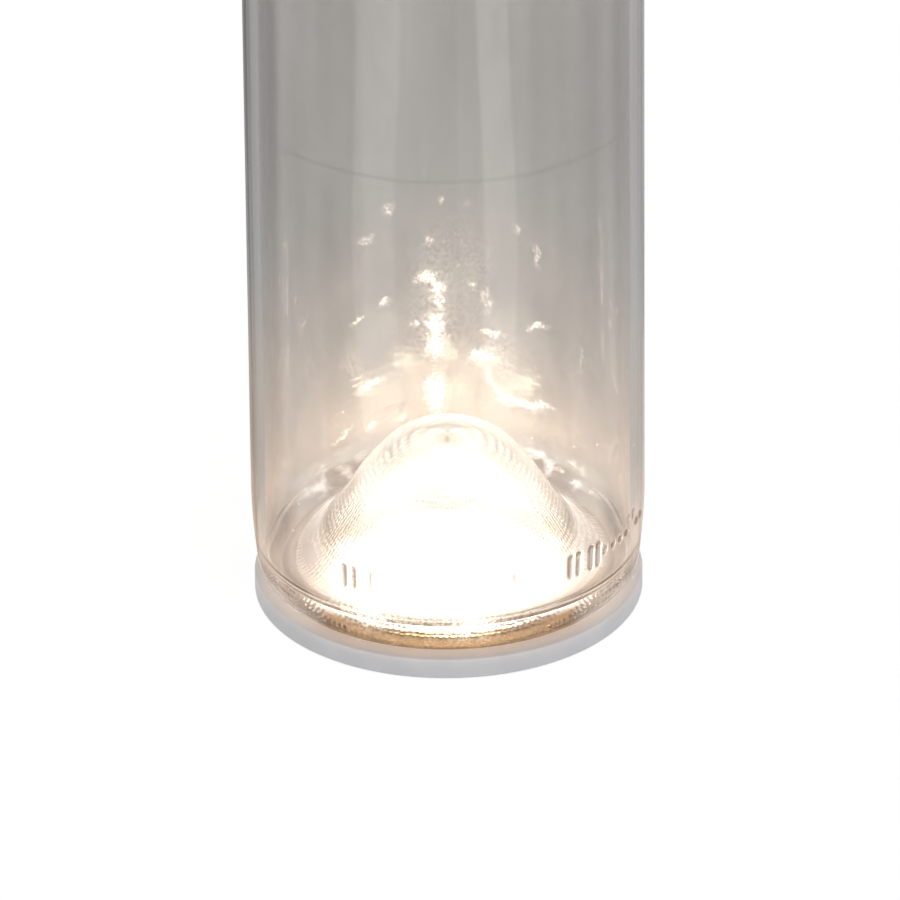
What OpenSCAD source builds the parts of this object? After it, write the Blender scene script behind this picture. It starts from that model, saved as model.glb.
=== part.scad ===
// Bottle light: a clear glass bottle with a cork stopper, standing on a thin disc
// of white plastic whose lamps shine up through the hollow under the bottle.
// +Z is up. The origin is the centre of the foot ring's underside.

/* [Bottle] */
// Outer diameter of the straight body
bottle_d = 66.8; // [62:0.2:74]
// Height of the glass, from the bearing ring to the mouth
bottle_h = 272; // [250:1:300]
// Thickness of the body's wall
wall = 2.4; // [1.8:0.1:3.2]
// Radius of the rounded heel
heel_r = 4.3; // [3:0.1:5.5]
// How far the heel lies inside the line of the body
heel_in = 0.8; // [0.3:0.1:1.4]
// Height at which the body reaches its full diameter
heel_h = 17; // [12:1:24]
// Width of the flat bearing ring under the heel
land_w = 3.8; // [3:0.1:5]
// Height of the hollow under the base
punt_h = 24; // [18:0.5:30]
// How full the hollow is towards its top
punt_belly = 2.4; // [2:0.1:3.2]
// How softly the hollow runs out at its foot
punt_foot = 1.7; // [1.2:0.1:2.2]
// Thickness of the glass at the top of the hollow
punt_wall = 3; // [2.5:0.1:5]
// How full the dome inside is towards its top
dome_belly = 3; // [2.6:0.1:3.6]
// How softly the dome inside runs out at its foot
dome_foot = 3; // [2.4:0.1:3.6]
// Thickness of the glass above the bearing ring
base_wall = 5; // [4:0.1:8]
// Radius of the trough inside, between the wall and the hollow
trough_r = 2.9; // [2.2:0.1:3.6]
// Height of the straight body, from the bearing ring
shoulder_z = 157; // [130:1:170]
// Radius of the shoulder
shoulder_r = 22; // [17:0.5:24]
// Radius of the curve between the shoulder and the neck
throat_r = 16; // [12:0.5:22]
// Outer diameter of the neck where it leaves the shoulder
neck_d = 28.4; // [27:0.2:31]
// Outer diameter of the neck under its ring
neck_top_d = 26.4; // [25.4:0.2:27]
// Outer diameter of the ring round the mouth
ring_d = 29.4; // [28.6:0.2:32]
// Height of the ring round the mouth
ring_h = 6.5; // [5:0.5:9]
// Height of the lip above the ring
lip_h = 4; // [3:0.5:6]
// Diameter of the bore that holds the cork
mouth_d = 18.5; // [17.5:0.1:20]
// Length of the bore that holds the cork
mouth_l = 26; // [24:1:40]

/* [Heel marks] */
// Height of the middle of the row of raised marks
mark_z = 14; // [12:0.5:22]
// Height of a bar in the row
mark_h = 4.4; // [3:0.2:5.6]
// Width of a bar or dot
mark_w = 1.1; // [0.8:0.1:1.4]
// How far a mark stands out of the glass
mark_out = 0.36; // [0.25:0.01:0.4]

/* [Cork] */
// Length of the cork
cork_l = 34; // [30:1:40]
// How deep the cork sits in the mouth
cork_in = 20; // [16:1:23]
// Gap between cork and bore at the mouth
cork_gap = 0.06; // [0.04:0.01:0.1]
// How much the cork narrows on each side, per millimetre of its length
cork_taper = 0.045; // [0.02:0.005:0.07]
// Bevel round the ends of the cork
cork_bevel = 0.7; // [0.3:0.1:1.2]

/* [Disc] */
// How far the disc's edge lies inside the line of the bottle's body
disc_in = 0.4; // [0.1:0.1:1]
// Height of the disc's side
disc_h = 3.6; // [3.6:0.1:5]
// Thickness of the cover's top
top_t = 0.7; // [0.6:0.05:0.9]
// Thickness of the cover's side
side_t = 1.3; // [1:0.1:1.5]
// Thickness of the base plate
floor_t = 0.7; // [0.6:0.05:0.8]
// How far the foot ring stands out below the base plate
foot_out = 0.2; // [0.1:0.05:0.4]
// Depth of the grooves that hold the grip ring and the foot ring
groove_t = 0.3; // [0.2:0.05:0.35]
// Radial width of the foot ring
foot_w = 2.4; // [1.6:0.2:3]
// Clearance between fitted pieces
fit_gap = 0.1; // [0.05:0.01:0.15]

/* [Lamps] */
// Radius of the circle of lamps
lamp_ring_r = 17; // [16.6:0.1:18]
// Width of a lamp
lamp_w = 2.8; // [2:0.1:3]
// Length of a lamp
lamp_l = 3.5; // [2.8:0.1:3.6]
// Height of a lamp
lamp_h = 0.65; // [0.4:0.05:0.68]
// Thickness of the circuit board
board_t = 0.6; // [0.4:0.05:0.6]
// Gap between a lamp and the cover
lamp_gap = 0.07; // [0.05:0.01:0.1]

/* [Battery] */
// Diameter of the button cell
cell_d = 20; // [18:0.5:20]
// Thickness of the button cell
cell_t = 1.6; // [1.2:0.1:1.6]
// Thickness of the drawer's floor under the cell
drawer_floor_t = 0.3; // [0.2:0.05:0.3]
// Width of the drawer's side at its thinnest
drawer_side = 1.6; // [1.2:0.1:1.8]
// Depth of the drawer's front, outside the cell
drawer_front = 1.9; // [1.5:0.1:2.2]
// Depth of the drawer's inner end
drawer_back = 5.6; // [4.6:0.1:5.8]
// Travel of the drawer
drawer_travel = 23; // [20:0.5:23]

/* [Button] */
// Diameter of the button's face
button_d = 8.6; // [7:0.2:9.4]
// Distance of the button from the middle of the disc
button_y = 9; // [8.4:0.2:10]
// Travel of the button
button_travel = 0.25; // [0.15:0.05:0.3]

/* [Hidden] */
$fn = 64;

// levels, from the surface that the disc stands on
shell_z = foot_out;
floor_top = shell_z + floor_t;
disc_top = shell_z + disc_h;
cover_under = disc_top - top_t;
board_top = cover_under - lamp_h - lamp_gap;
board_z = board_top - board_t;

// radii of the bottle
body_r = bottle_d / 2;
inner_r = body_r - wall;
heel_side_r = body_r - heel_in;
land_r = heel_side_r - heel_r;
punt_r = land_r - land_w;
trough_mid_r = inner_r - trough_r;
trough_mid_z = base_wall + trough_r;
neck_r = neck_d / 2;
mouth_r = mouth_d / 2;
neck_top_r = neck_top_d / 2;
ring_r = ring_d / 2;
lip_r = neck_top_r + 0.5;
edge_r = 0.8;
mouth_chamfer = 0.5;

// where the shoulder's curve meets the throat's
shoulder_mid_r = body_r - shoulder_r;
throat_mid_r = neck_r + throat_r;
blend_x = throat_mid_r - shoulder_mid_r;
blend_z = sqrt(pow(shoulder_r + throat_r, 2) - pow(blend_x, 2));
blend_a = atan2(blend_z, blend_x);
neck_z = shoulder_z + blend_z;
ring_z = bottle_h - lip_h - ring_h;
lip_z = bottle_h - lip_h;

// radii of the disc
disc_r = body_r - disc_in;
hollow_r = disc_r - side_t;
plate_r = hollow_r - fit_gap;
side_edge_r = 0.35;
grip_in_r = punt_r + 0.4;
grip_out_r = land_r - 0.4;
ledge_w = 1.1;
ledge_t = top_t / 2;
window_r = grip_in_r - 1.6;
foot_out_r = plate_r - 0.8;
foot_in_r = foot_out_r - foot_w;

// screws stand between the foot ring and the lamps
screw_ring_r = foot_in_r - 2.9;
screw_angles = [45, 135, 225, 315];
screw_r = 0.6;
screw_head_r = 1.3;
screw_head_t = 0.35;
boss_r = 1.6;
screw_l = cover_under - shell_z - 0.5;

// the drawer and its cell
cell_r = cell_d / 2;
cell_seat_r = cell_r + fit_gap;
drawer_half = cell_seat_r + drawer_side;
cell_y = hollow_r - drawer_front - cell_seat_r;
drawer_in_y = cell_y - cell_seat_r - drawer_back;
stop_w = 0.9;
stop_l = 1;
slot_half = drawer_half + fit_gap;
stop_y = sqrt(pow(hollow_r, 2) - pow(drawer_half + stop_w, 2)) - drawer_travel - stop_l - fit_gap;
drawer_z = floor_top + fit_gap;
drawer_top = cover_under - fit_gap;
drawer_floor_top = drawer_z + drawer_floor_t;
rail_x = drawer_half + stop_w + fit_gap;
rail_w = 0.8;
rail_l = 20;
cell_slot_w = 6;
grip_nick_r = 0.5;
grip_nick_l = 9;

// the board and what it carries
board_r = screw_ring_r - boss_r - 0.4;
board_cut_x = rail_x + rail_w + fit_gap;
board_cut_y = drawer_in_y - 0.5;
post_r = 1.2;
post_ring_r = board_r - post_r - 0.3;
post_angles = [8, 172, 245, 295];
lamp_angles = [20, 160, 215, 270, 325];
chip_x = 8;
chip_y = -3.5;
chip_w = 3.9;
chip_l = 4.9;
chip_h = 0.5;
part_l = 1.6;
part_w = 0.8;
part_h = 0.45;
part_pitch = 1.6;
part_x = 10;
part_y = -6.5;
leaf_t = 0.12;
leaf_w = 3;
leaf_y = drawer_in_y - 4;
plus_x = 6;

// the button and its switch
button_r = button_d / 2;
flange_out = 0.8;
flange_t = 0.2;
switch_w = 4.6;
switch_t = 0.35;
plunger_r = 0.9;
button_face_z = shell_z + 0.1;
flange_z = floor_top + 0.02;
switch_z = board_z - switch_t;
plunger_top = switch_z + switch_t - button_travel - 0.02;

// points on an arc about [x, y], from angle a to angle b
function arc(x, y, r, a, b, steps) =
    [for (i = [0 : steps]) let (t = a + (b - a) * i / steps) [x + r * cos(t), y + r * sin(t)]];

// height of a bell-shaped dome at a share u of its radius, as a share of its height
function bell(u, belly, foot) = pow(max(0, 1 - pow(u, belly)), foot);

// points down a bell-shaped dome of radius r that rises from z to z + h
function dome(r, z, h, belly, foot, steps) =
    [for (i = [0 : steps]) [r * i / steps, z + h * bell(i / steps, belly, foot)]];

// the same points, from the foot up
function dome_up(r, z, h, belly, foot, steps) =
    let (p = dome(r, z, h, belly, foot, steps)) [for (i = [steps - 1 : -1 : 0]) p[i]];

// radius of the outside of the bottle at a height in its straight or tapered part
function side_r(z) =
    z >= heel_h ? body_r : heel_side_r + heel_in * sin(90 * (z - heel_r) / (heel_h - heel_r));

// outside of the bottle: hollow, bearing ring, heel, side, shoulder, neck and mouth
function outside_points() = concat(
    dome(punt_r, 0, punt_h, punt_belly, punt_foot, 18),
    arc(land_r, heel_r, heel_r, -90, 0, 8),
    [for (i = [1 : 5]) let (z = heel_r + (heel_h - heel_r) * i / 5) [side_r(z), z]],
    arc(shoulder_mid_r, shoulder_z, shoulder_r, 0, blend_a, 12),
    arc(throat_mid_r, neck_z, throat_r, 180 + blend_a, 180, 8),
    [[neck_top_r, ring_z]],
    arc(ring_r - edge_r, ring_z + edge_r, edge_r, -90, 0, 4),
    arc(ring_r - edge_r, lip_z - edge_r, edge_r, 0, 90, 4),
    [[lip_r, lip_z]],
    arc(lip_r - edge_r, bottle_h - edge_r, edge_r, 0, 90, 4)
);

// inside of the bottle, from the mouth down to the top of the dome
function inside_points() = concat(
    [[mouth_r + mouth_chamfer, bottle_h], [mouth_r, bottle_h - mouth_chamfer],
     [mouth_r, bottle_h - mouth_l]],
    arc(throat_mid_r, neck_z, throat_r + wall, 180, 180 + blend_a, 8),
    arc(shoulder_mid_r, shoulder_z, shoulder_r - wall, blend_a, 0, 12),
    arc(trough_mid_r, trough_mid_z, trough_r, 0, -90, 8),
    dome_up(trough_mid_r, base_wall, punt_h + punt_wall - base_wall, dome_belly, dome_foot, 20)
);

// a raised bar with round ends, or a dot where its height is its width
module mark(angle, z, h) {
    r = mark_w / 2;
    rotate([0, 0, angle])
        translate([side_r(z) + mark_out - r, 0, z]) {
            if (h > mark_w) translate([0, 0, -(h - mark_w) / 2]) cylinder(r = r, h = h - mark_w);
            for (s = h > mark_w ? [-1, 1] : [0]) translate([0, 0, s * (h - mark_w) / 2]) sphere(r = r);
        }
}

// radius of the cork at a height above its lower end
function cork_r(h) = mouth_r - cork_gap + cork_taper * (h - cork_in);

// the row of plain bars and dots moulded above the heel
module heel_marks() {
    bar_angles = [-122, -119, -114, -75, -70, -52, -49, -44, -41];
    dot_angles = [-38, -34, -30, -26, -18, -14, 60, 64, 68, 104, 108];
    for (a = bar_angles) mark(a, mark_z, mark_h);
    for (a = dot_angles) mark(a, mark_z, mark_w);
}

module bottle() {
    color([0.72, 0.73, 0.71, 0.4])
        translate([0, 0, disc_top])
        union() {
            rotate_extrude() polygon(concat(outside_points(), inside_points()));
            heel_marks();
        }
}

module cork() {
    low_z = cork_bevel;
    high_z = cork_l - cork_bevel;
    color([0.78, 0.6, 0.4])
        translate([0, 0, disc_top + bottle_h - cork_in])
        rotate_extrude()
        polygon([
            [0, 0], [cork_r(low_z) - cork_bevel, 0], [cork_r(low_z), low_z],
            [cork_r(high_z), high_z], [cork_r(high_z) - cork_bevel, cork_l], [0, cork_l]
        ]);
}

// a flat ring
module ring(out_r, in_r, h) {
    difference() {
        cylinder(r = out_r, h = h);
        translate([0, 0, -1]) cylinder(r = in_r, h = h + 2);
    }
}

module top_cover() {
    color([0.93, 0.93, 0.94])
        difference() {
            union() {
                rotate_extrude()
                    polygon(concat(
                        [[0, cover_under], [hollow_r, cover_under], [hollow_r, shell_z]],
                        arc(disc_r - side_edge_r, shell_z + side_edge_r, side_edge_r, -90, 0, 4),
                        arc(disc_r - side_edge_r, disc_top - side_edge_r, side_edge_r, 0, 90, 4),
                        [[0, disc_top]]
                    ));
                for (a = screw_angles)
                    rotate([0, 0, a])
                    translate([screw_ring_r, 0, floor_top])
                    cylinder(r = boss_r, h = cover_under - floor_top);
            }
            // the window's hole, and its ledge below
            translate([0, 0, cover_under + ledge_t]) cylinder(r = window_r, h = top_t);
            translate([0, 0, cover_under - 1]) cylinder(r = window_r - ledge_w, h = top_t + 2);
            // the grip ring's groove
            translate([0, 0, disc_top - groove_t])
                ring(grip_out_r + fit_gap / 2, grip_in_r - fit_gap / 2, 1);
            // blind holes for the screws
            for (a = screw_angles)
                rotate([0, 0, a])
                translate([screw_ring_r, 0, floor_top - 1])
                cylinder(r = screw_r, h = shell_z + screw_l + 0.1 - floor_top + 1);
            // the drawer's slot at the back
            translate([-slot_half, 0, floor_top])
                cube([2 * slot_half, disc_r + 1, cover_under - floor_top]);
        }
}

module light_window() {
    color([1, 0.96, 0.86])
        translate([0, 0, cover_under + ledge_t])
        cylinder(r = window_r - fit_gap / 2, h = top_t - ledge_t);
}

module grip_ring() {
    color([0.9, 0.9, 0.9])
        translate([0, 0, disc_top - groove_t])
        ring(grip_out_r, grip_in_r, groove_t);
}

module base_plate() {
    color([0.93, 0.93, 0.94])
        difference() {
            union() {
                translate([0, 0, shell_z]) cylinder(r = plate_r, h = floor_t);
                // posts under the board
                for (a = post_angles)
                    rotate([0, 0, a])
                    translate([post_ring_r, 0, shell_z])
                    cylinder(r = post_r, h = board_z - shell_z);
                // rails beside the drawer
                for (s = [-1, 1])
                    translate([s * (rail_x + rail_w / 2) - rail_w / 2, drawer_in_y, shell_z])
                    cube([rail_w, rail_l, drawer_top - shell_z]);
            }
            // the foot ring's groove
            translate([0, 0, shell_z - 1])
                ring(foot_out_r + fit_gap / 2, foot_in_r - fit_gap / 2, groove_t + 1);
            // screw holes with sunk heads
            for (a = screw_angles)
                rotate([0, 0, a])
                translate([screw_ring_r, 0, shell_z - 1]) {
                    cylinder(r = screw_r + fit_gap, h = floor_t + 2);
                    cylinder(r = screw_head_r + fit_gap, h = screw_head_t + 1);
                }
            // the button's hole
            translate([0, -button_y, shell_z - 1]) cylinder(r = button_r + fit_gap, h = floor_t + 2);
        }
}

module foot_ring() {
    color([0.82, 0.82, 0.83]) ring(foot_out_r, foot_in_r, foot_out + groove_t);
}

module cover_screws() {
    color([0.7, 0.7, 0.72])
        for (a = screw_angles)
            rotate([0, 0, a])
            translate([screw_ring_r, 0, shell_z])
            difference() {
                union() {
                    cylinder(r = screw_head_r, h = screw_head_t);
                    cylinder(r = screw_r - 0.02, h = screw_l);
                }
                // cross recess
                for (t = [0, 90]) rotate([0, 0, t]) translate([-0.8, -0.15, -1]) cube([1.6, 0.3, 1.2]);
            }
}

module circuit_board() {
    color([0.9, 0.92, 0.9])
        difference() {
            translate([0, 0, board_z]) cylinder(r = board_r, h = board_t);
            translate([-board_cut_x, board_cut_y, board_z - 1])
                cube([2 * board_cut_x, board_r, board_t + 2]);
        }
}

// one surface-mounted lamp, with a shallow round cup in its top
module lamp(x, y) {
    color([1, 0.85, 0.35])
        translate([x, y, board_top])
        difference() {
            translate([-lamp_w / 2, -lamp_l / 2, 0]) cube([lamp_w, lamp_l, lamp_h]);
            translate([0, 0, lamp_h - 0.1]) cylinder(r = lamp_w / 2 - 0.35, h = 1);
            // the notch that marks a lamp's minus side
            translate([lamp_w / 2, lamp_l / 2, lamp_h]) cylinder(r = 0.4, h = 0.4, center = true);
        }
}

module ring_lamp(i) {
    lamp(lamp_ring_r * cos(lamp_angles[i]), lamp_ring_r * sin(lamp_angles[i]));
}

module control_chip() {
    color([0.12, 0.12, 0.13])
        translate([-chip_x - chip_w / 2, chip_y - chip_l / 2, board_top])
        difference() {
            cube([chip_w, chip_l, chip_h]);
            // the dot that marks pin one
            translate([0.6, 0.6, chip_h - 0.08]) cylinder(r = 0.25, h = 1);
        }
}

module resistors() {
    color([0.1, 0.1, 0.1])
        for (i = [0 : 3])
            translate([part_x - part_l / 2, part_y + i * part_pitch, board_top])
            cube([part_l, part_w, part_h]);
}

module capacitor() {
    color([0.72, 0.6, 0.42])
        translate([-chip_x - part_l / 2, chip_y - chip_l / 2 - part_pitch, board_top])
        cube([part_l, part_w, part_h]);
}

module switch_body() {
    color([0.75, 0.75, 0.76])
        translate([0, -button_y, switch_z])
        difference() {
            translate([-switch_w / 2, -switch_w / 2, 0]) cube([switch_w, switch_w, switch_t]);
            translate([0, 0, -1]) cylinder(r = plunger_r + 0.05, h = switch_t + 2);
        }
}

module switch_plunger() {
    color([0.2, 0.2, 0.2])
        translate([0, -button_y, flange_z + flange_t])
        cylinder(r = plunger_r, h = plunger_top - flange_z - flange_t);
}

module push_button() {
    color([0.86, 0.87, 0.88])
        translate([0, -button_y, 0])
        union() {
            translate([0, 0, button_face_z])
                cylinder(r = button_r, h = flange_z - button_face_z + flange_t);
            translate([0, 0, flange_z]) cylinder(r = button_r + flange_out, h = flange_t);
        }
}

module battery_drawer() {
    color([0.93, 0.93, 0.94])
        difference() {
            intersection() {
                union() {
                    translate([-drawer_half, drawer_in_y, drawer_z])
                        cube([2 * drawer_half, disc_r, drawer_top - drawer_z]);
                    // stops at the inner end
                    translate([-drawer_half - stop_w, stop_y, drawer_z])
                        cube([2 * (drawer_half + stop_w), stop_l, drawer_top - drawer_z]);
                }
                cylinder(r = disc_r, h = disc_top);
            }
            // the cell's seat
            translate([0, cell_y, drawer_floor_top]) cylinder(r = cell_seat_r, h = disc_top);
            // the slot that passes over the lower contact
            translate([-cell_slot_w / 2, drawer_in_y - 1, drawer_z - 1])
                cube([cell_slot_w, cell_y - drawer_in_y + 5, drawer_floor_t + 1]);
            // the upper contact's channel
            translate([plus_x - leaf_w / 2 - fit_gap, drawer_in_y - 1, drawer_floor_top + cell_t])
                cube([leaf_w + 2 * fit_gap, cell_y - drawer_in_y, disc_top]);
            // a nick for a fingernail
            translate([0, disc_r, (drawer_z + drawer_top) / 2])
                rotate([0, 90, 0])
                cylinder(r = grip_nick_r, h = grip_nick_l, center = true);
        }
}

module button_cell() {
    color([0.8, 0.81, 0.82])
        translate([0, cell_y, drawer_floor_top])
        union() {
            cylinder(r = cell_r - 0.9, h = 0.2);
            translate([0, 0, 0.2]) cylinder(r = cell_r, h = cell_t - 0.2);
        }
}

// a bent leaf of sheet metal, along Y, from a list of [y, z] on its lower side
module leaf(points) {
    n = len(points);
    rotate([90, 0, 90])
        linear_extrude(height = leaf_w, center = true)
        polygon(concat(points, [for (i = [n - 1 : -1 : 0]) points[i] + [0, leaf_t]]));
}

module contact_plus() {
    top_z = drawer_floor_top + cell_t + 0.02;
    color([0.85, 0.75, 0.45])
        translate([plus_x, 0, 0])
        leaf([
            [leaf_y - 1.5, board_top], [leaf_y + 1, board_top], [leaf_y + 2.6, top_z], [cell_y - 4, top_z]
        ]);
}

module contact_minus() {
    low_z = floor_top + 0.02;
    high_z = drawer_floor_top - leaf_t - 0.02;
    solder_z = board_z - leaf_t;
    color([0.85, 0.75, 0.45])
        leaf([
            [leaf_y - 2, solder_z], [leaf_y + 0.5, solder_z], [leaf_y + 2.6, low_z], [cell_y - 6, low_z],
            [cell_y - 2, high_z], [cell_y, high_z]
        ]);
}

bottle();
cork();
top_cover();
light_window();
grip_ring();
base_plate();
foot_ring();
cover_screws();
circuit_board();
ring_lamp(0);  // lamp_1
ring_lamp(1);  // lamp_2
ring_lamp(2);  // lamp_3
ring_lamp(3);  // lamp_4
ring_lamp(4);  // lamp_5
lamp(0, leaf_y);  // lamp_6
control_chip();
resistors();
capacitor();
switch_body();
switch_plunger();
push_button();
battery_drawer();
button_cell();
contact_plus();
contact_minus();
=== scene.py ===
import math

import bmesh
import bpy
from mathutils import Matrix, Vector, noise


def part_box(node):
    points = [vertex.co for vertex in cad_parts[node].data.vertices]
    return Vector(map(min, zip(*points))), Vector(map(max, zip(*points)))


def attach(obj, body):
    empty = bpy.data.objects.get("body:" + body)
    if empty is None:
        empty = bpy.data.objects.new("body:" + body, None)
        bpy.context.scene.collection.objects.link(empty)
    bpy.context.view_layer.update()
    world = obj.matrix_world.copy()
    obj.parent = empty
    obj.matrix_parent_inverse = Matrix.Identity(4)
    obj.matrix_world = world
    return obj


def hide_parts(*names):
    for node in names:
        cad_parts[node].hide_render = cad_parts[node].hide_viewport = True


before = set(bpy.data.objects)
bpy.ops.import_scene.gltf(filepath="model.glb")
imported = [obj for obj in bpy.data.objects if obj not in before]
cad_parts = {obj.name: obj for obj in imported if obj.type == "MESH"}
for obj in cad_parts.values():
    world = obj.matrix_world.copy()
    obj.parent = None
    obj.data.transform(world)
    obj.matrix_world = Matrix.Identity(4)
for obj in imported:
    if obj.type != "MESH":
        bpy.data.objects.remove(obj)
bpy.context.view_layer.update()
mm = 0.001
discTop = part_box("bottle")[0][2]  # the glass stands on this level
mergeDistance = 1e-7


# a Python operator that adds a Math node; the reflected one has the socket behind the sign
def operator(operation, reflected=False):
    def apply(wire, other):
        pair = (other, wire) if reflected else (wire, other)
        return wire.graph.maths(operation, *pair)

    return apply


# a socket that takes part in Python sums
class Wire:
    def __init__(self, graph, socket):
        self.graph = graph
        self.socket = socket

    def __abs__(self):
        return self.graph.maths("ABSOLUTE", self)

    __add__ = __radd__ = operator("ADD")
    __mul__ = __rmul__ = operator("MULTIPLY")
    __sub__ = operator("SUBTRACT")
    __rsub__ = operator("SUBTRACT", reflected=True)
    __truediv__ = operator("DIVIDE")
    __rtruediv__ = operator("DIVIDE", reflected=True)
    __pow__ = operator("POWER")
    __rpow__ = operator("POWER", reflected=True)


# a node tree, for a material, the world or a modifier
class Graph:
    def __init__(self, owner, tree):
        self.owner = owner
        self.tree = tree
        tree.nodes.clear()

    # one node: its settings first, then the values or links of its sockets; gives one output
    def node(self, kind, settings=None, inputs=None, output=0):
        made = self.tree.nodes.new(kind)
        for name, value in (settings or {}).items():
            setattr(made, name, value)
        for name, value in (inputs or {}).items():
            self.feed(self.findSocket(made.inputs, name), value)
        return Wire(self, self.findSocket(made.outputs, output)) if len(made.outputs) else made

    # by identifier, or else by name or number
    def findSocket(self, sockets, name):
        known = {socket.identifier: socket for socket in sockets}
        return known[name] if name in known else sockets[name]

    def feed(self, socket, value):
        if isinstance(value, Wire):
            self.tree.links.new(value.socket, socket)
        elif socket.type == "RGBA" and len(value) == 3:
            socket.default_value = (*value, 1)
        else:
            socket.default_value = value

    def maths(self, operation, *values):
        return self.node("ShaderNodeMath", {"operation": operation}, dict(enumerate(values)))

    # 0 below low and 1 above high, with a soft step between; low may be the larger one
    def step(self, value, low, high):
        return self.node("ShaderNodeMapRange", {"interpolation_type": "SMOOTHSTEP"},
                         {"Value": value, "From Min": low, "From Max": high})

    # 1 near the middle of a band and 0 outside it; edge is the softened share of its half width
    def band(self, offset, half, edge):
        return self.step(abs(offset), half * (1 + edge), half * (1 - edge))

    # the value with only a share of its say: 1 stays 1, and 0 becomes 1 less the share
    def eased(self, value, share):
        return value * share + (1 - share)

    def mix(self, factor, colourA, colourB):
        return self.node("ShaderNodeMix", {"data_type": "RGBA"},
                         {"Factor_Float": factor, "A_Color": colourA, "B_Color": colourB}, "Result_Color")

    def vector(self, operation, first, second=None, **more):
        inputs = {0: first, **more}
        if second is not None:
            inputs[1] = second
        return self.node("ShaderNodeVectorMath", {"operation": operation}, inputs,
                         "Value" if operation == "LENGTH" else "Vector")

    def scaled(self, colour, level):
        return self.vector("SCALE", colour, Scale=level)

    def combine(self, x, y, z):
        return self.node("ShaderNodeCombineXYZ", None, {"X": x, "Y": y, "Z": z})

    def noise(self, vector, scale, detail=2.0, roughness=0.5):
        return self.node("ShaderNodeTexNoise", None,
                         {"Vector": vector, "Scale": scale, "Detail": detail, "Roughness": roughness})

    def voronoi(self, vector, scale, settings=None, output=0):
        return self.node("ShaderNodeTexVoronoi", settings, {"Vector": vector, "Scale": scale}, output)

    # where a noise is strong, softly from low to high; scale is one number, or one for each axis
    def patches(self, scale, low, high, detail=2.0, roughness=0.5):
        if isinstance(scale, tuple):
            return self.step(self.noise(self.stretched(*scale), 1.0, detail, roughness), low, high)
        return self.step(self.noise(self.place(), scale, detail, roughness), low, high)

    def bump(self, height, strength, distance):
        return self.node("ShaderNodeBump", None,
                         {"Strength": strength, "Distance": distance, "Height": height})

    def place(self):
        return self.node("ShaderNodeTexCoord", output="Object")

    # the place stretched by a factor on each axis
    def stretched(self, x, y, z):
        return self.node("ShaderNodeMapping", None, {"Vector": self.place(), "Scale": (x, y, z)})

    def split(self, vector):
        made = self.node("ShaderNodeSeparateXYZ", None, {"Vector": vector}).socket.node
        return [Wire(self, socket) for socket in made.outputs]


def newMaterial(name):
    material = bpy.data.materials.new(name)
    material.use_nodes = True
    return Graph(material, material.node_tree)


def finishMaterial(graph, inputs):
    if "Emission Color" in inputs:
        inputs["Emission Strength"] = 1.0
    shader = graph.node("ShaderNodeBsdfPrincipled", None, inputs)
    graph.node("ShaderNodeOutputMaterial", None, {"Surface": shader})
    return graph.owner


def colourMesh(thing, material):
    thing.data.materials.clear()
    thing.data.materials.append(material)


def newPiece(name, data):
    thing = bpy.data.objects.new(name, data)
    bpy.context.scene.collection.objects.link(thing)
    return thing


def meshPiece(name, points, faces):
    mesh = bpy.data.meshes.new(name)
    mesh.from_pydata(points, [], faces)
    return newPiece(name, mesh)


# a finished mesh from an object with modifiers, which are then removed
def settle(thing):
    bpy.context.view_layer.update()
    shown = thing.evaluated_get(bpy.context.evaluated_depsgraph_get())
    mesh = bpy.data.meshes.new_from_object(shown)
    thing.modifiers.clear()
    thing.data = mesh
    mesh.name = thing.name


# doubles merged, and faces turned outwards
def closeMesh(mesh):
    work = bmesh.new()
    work.from_mesh(mesh)
    bmesh.ops.remove_doubles(work, verts=work.verts, dist=mergeDistance)
    bmesh.ops.recalc_face_normals(work, faces=work.faces)
    work.to_mesh(mesh)
    work.free()


print("stage: camera, light and floor")
cameraPlan = {
    "elevation": 28.6,  # degrees above the horizon
    "distance": 2.0,
    "lens": 472.4,
    "sensor": 36,
    "clip": (0.05, 50),
    "roll": -0.55,  # degrees
    "aim": (0.00042, 0.0, 0.026),  # what the middle of the picture shows
}


def makeCamera(plan):
    data = bpy.data.cameras.new("camera")
    data.lens = plan["lens"]
    data.sensor_width = plan["sensor"]
    data.clip_start, data.clip_end = plan["clip"]
    camera = newPiece("camera", data)
    tilt = math.radians(plan["elevation"])
    aim = Vector(plan["aim"])
    camera.location = aim + plan["distance"] * Vector((0, -math.cos(tilt), math.sin(tilt)))
    turn = (aim - camera.location).to_track_quat("-Z", "Y").to_matrix().to_4x4()
    roll = Matrix.Rotation(math.radians(plan["roll"]), 4, "Z")
    camera.rotation_euler = (turn @ roll).to_euler()
    bpy.context.scene.camera = camera


makeCamera(cameraPlan)
bpy.context.scene.view_settings.view_transform = "Standard"

studioPlan = {
    "worldLevel": 0.55,  # how strongly the surroundings light the object
    "keyPower": 3.2,
    "keySize": 0.9,
    "keyPlace": (0.6, -1.5, 0.9),
    "keyAim": (0, 0, 0.05),
    "white": (1, 1, 1),
    "floorSize": 6.0,
    "floorDrop": 0.02 * mm,
    "floorShade": (0.8, 0.8, 0.8),  # as the object's light meets it
    "floorFaint": (0.3, 0.3, 0.3),  # as the viewer sees it, under floorGlow
    "floorGlow": 0.85,
}


# 1 for what the viewer sees, straight or by way of the glass, and 0 for what lights the object
def whiteForViewer(graph):
    path = graph.node("ShaderNodeLightPath", output="Is Camera Ray").socket.node
    names = ("Is Camera Ray", "Is Glossy Ray", "Is Transmission Ray")
    seen = [Wire(graph, path.outputs[name]) for name in names]
    return graph.maths("MAXIMUM", graph.maths("MAXIMUM", seen[0], seen[1]), seen[2])


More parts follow.
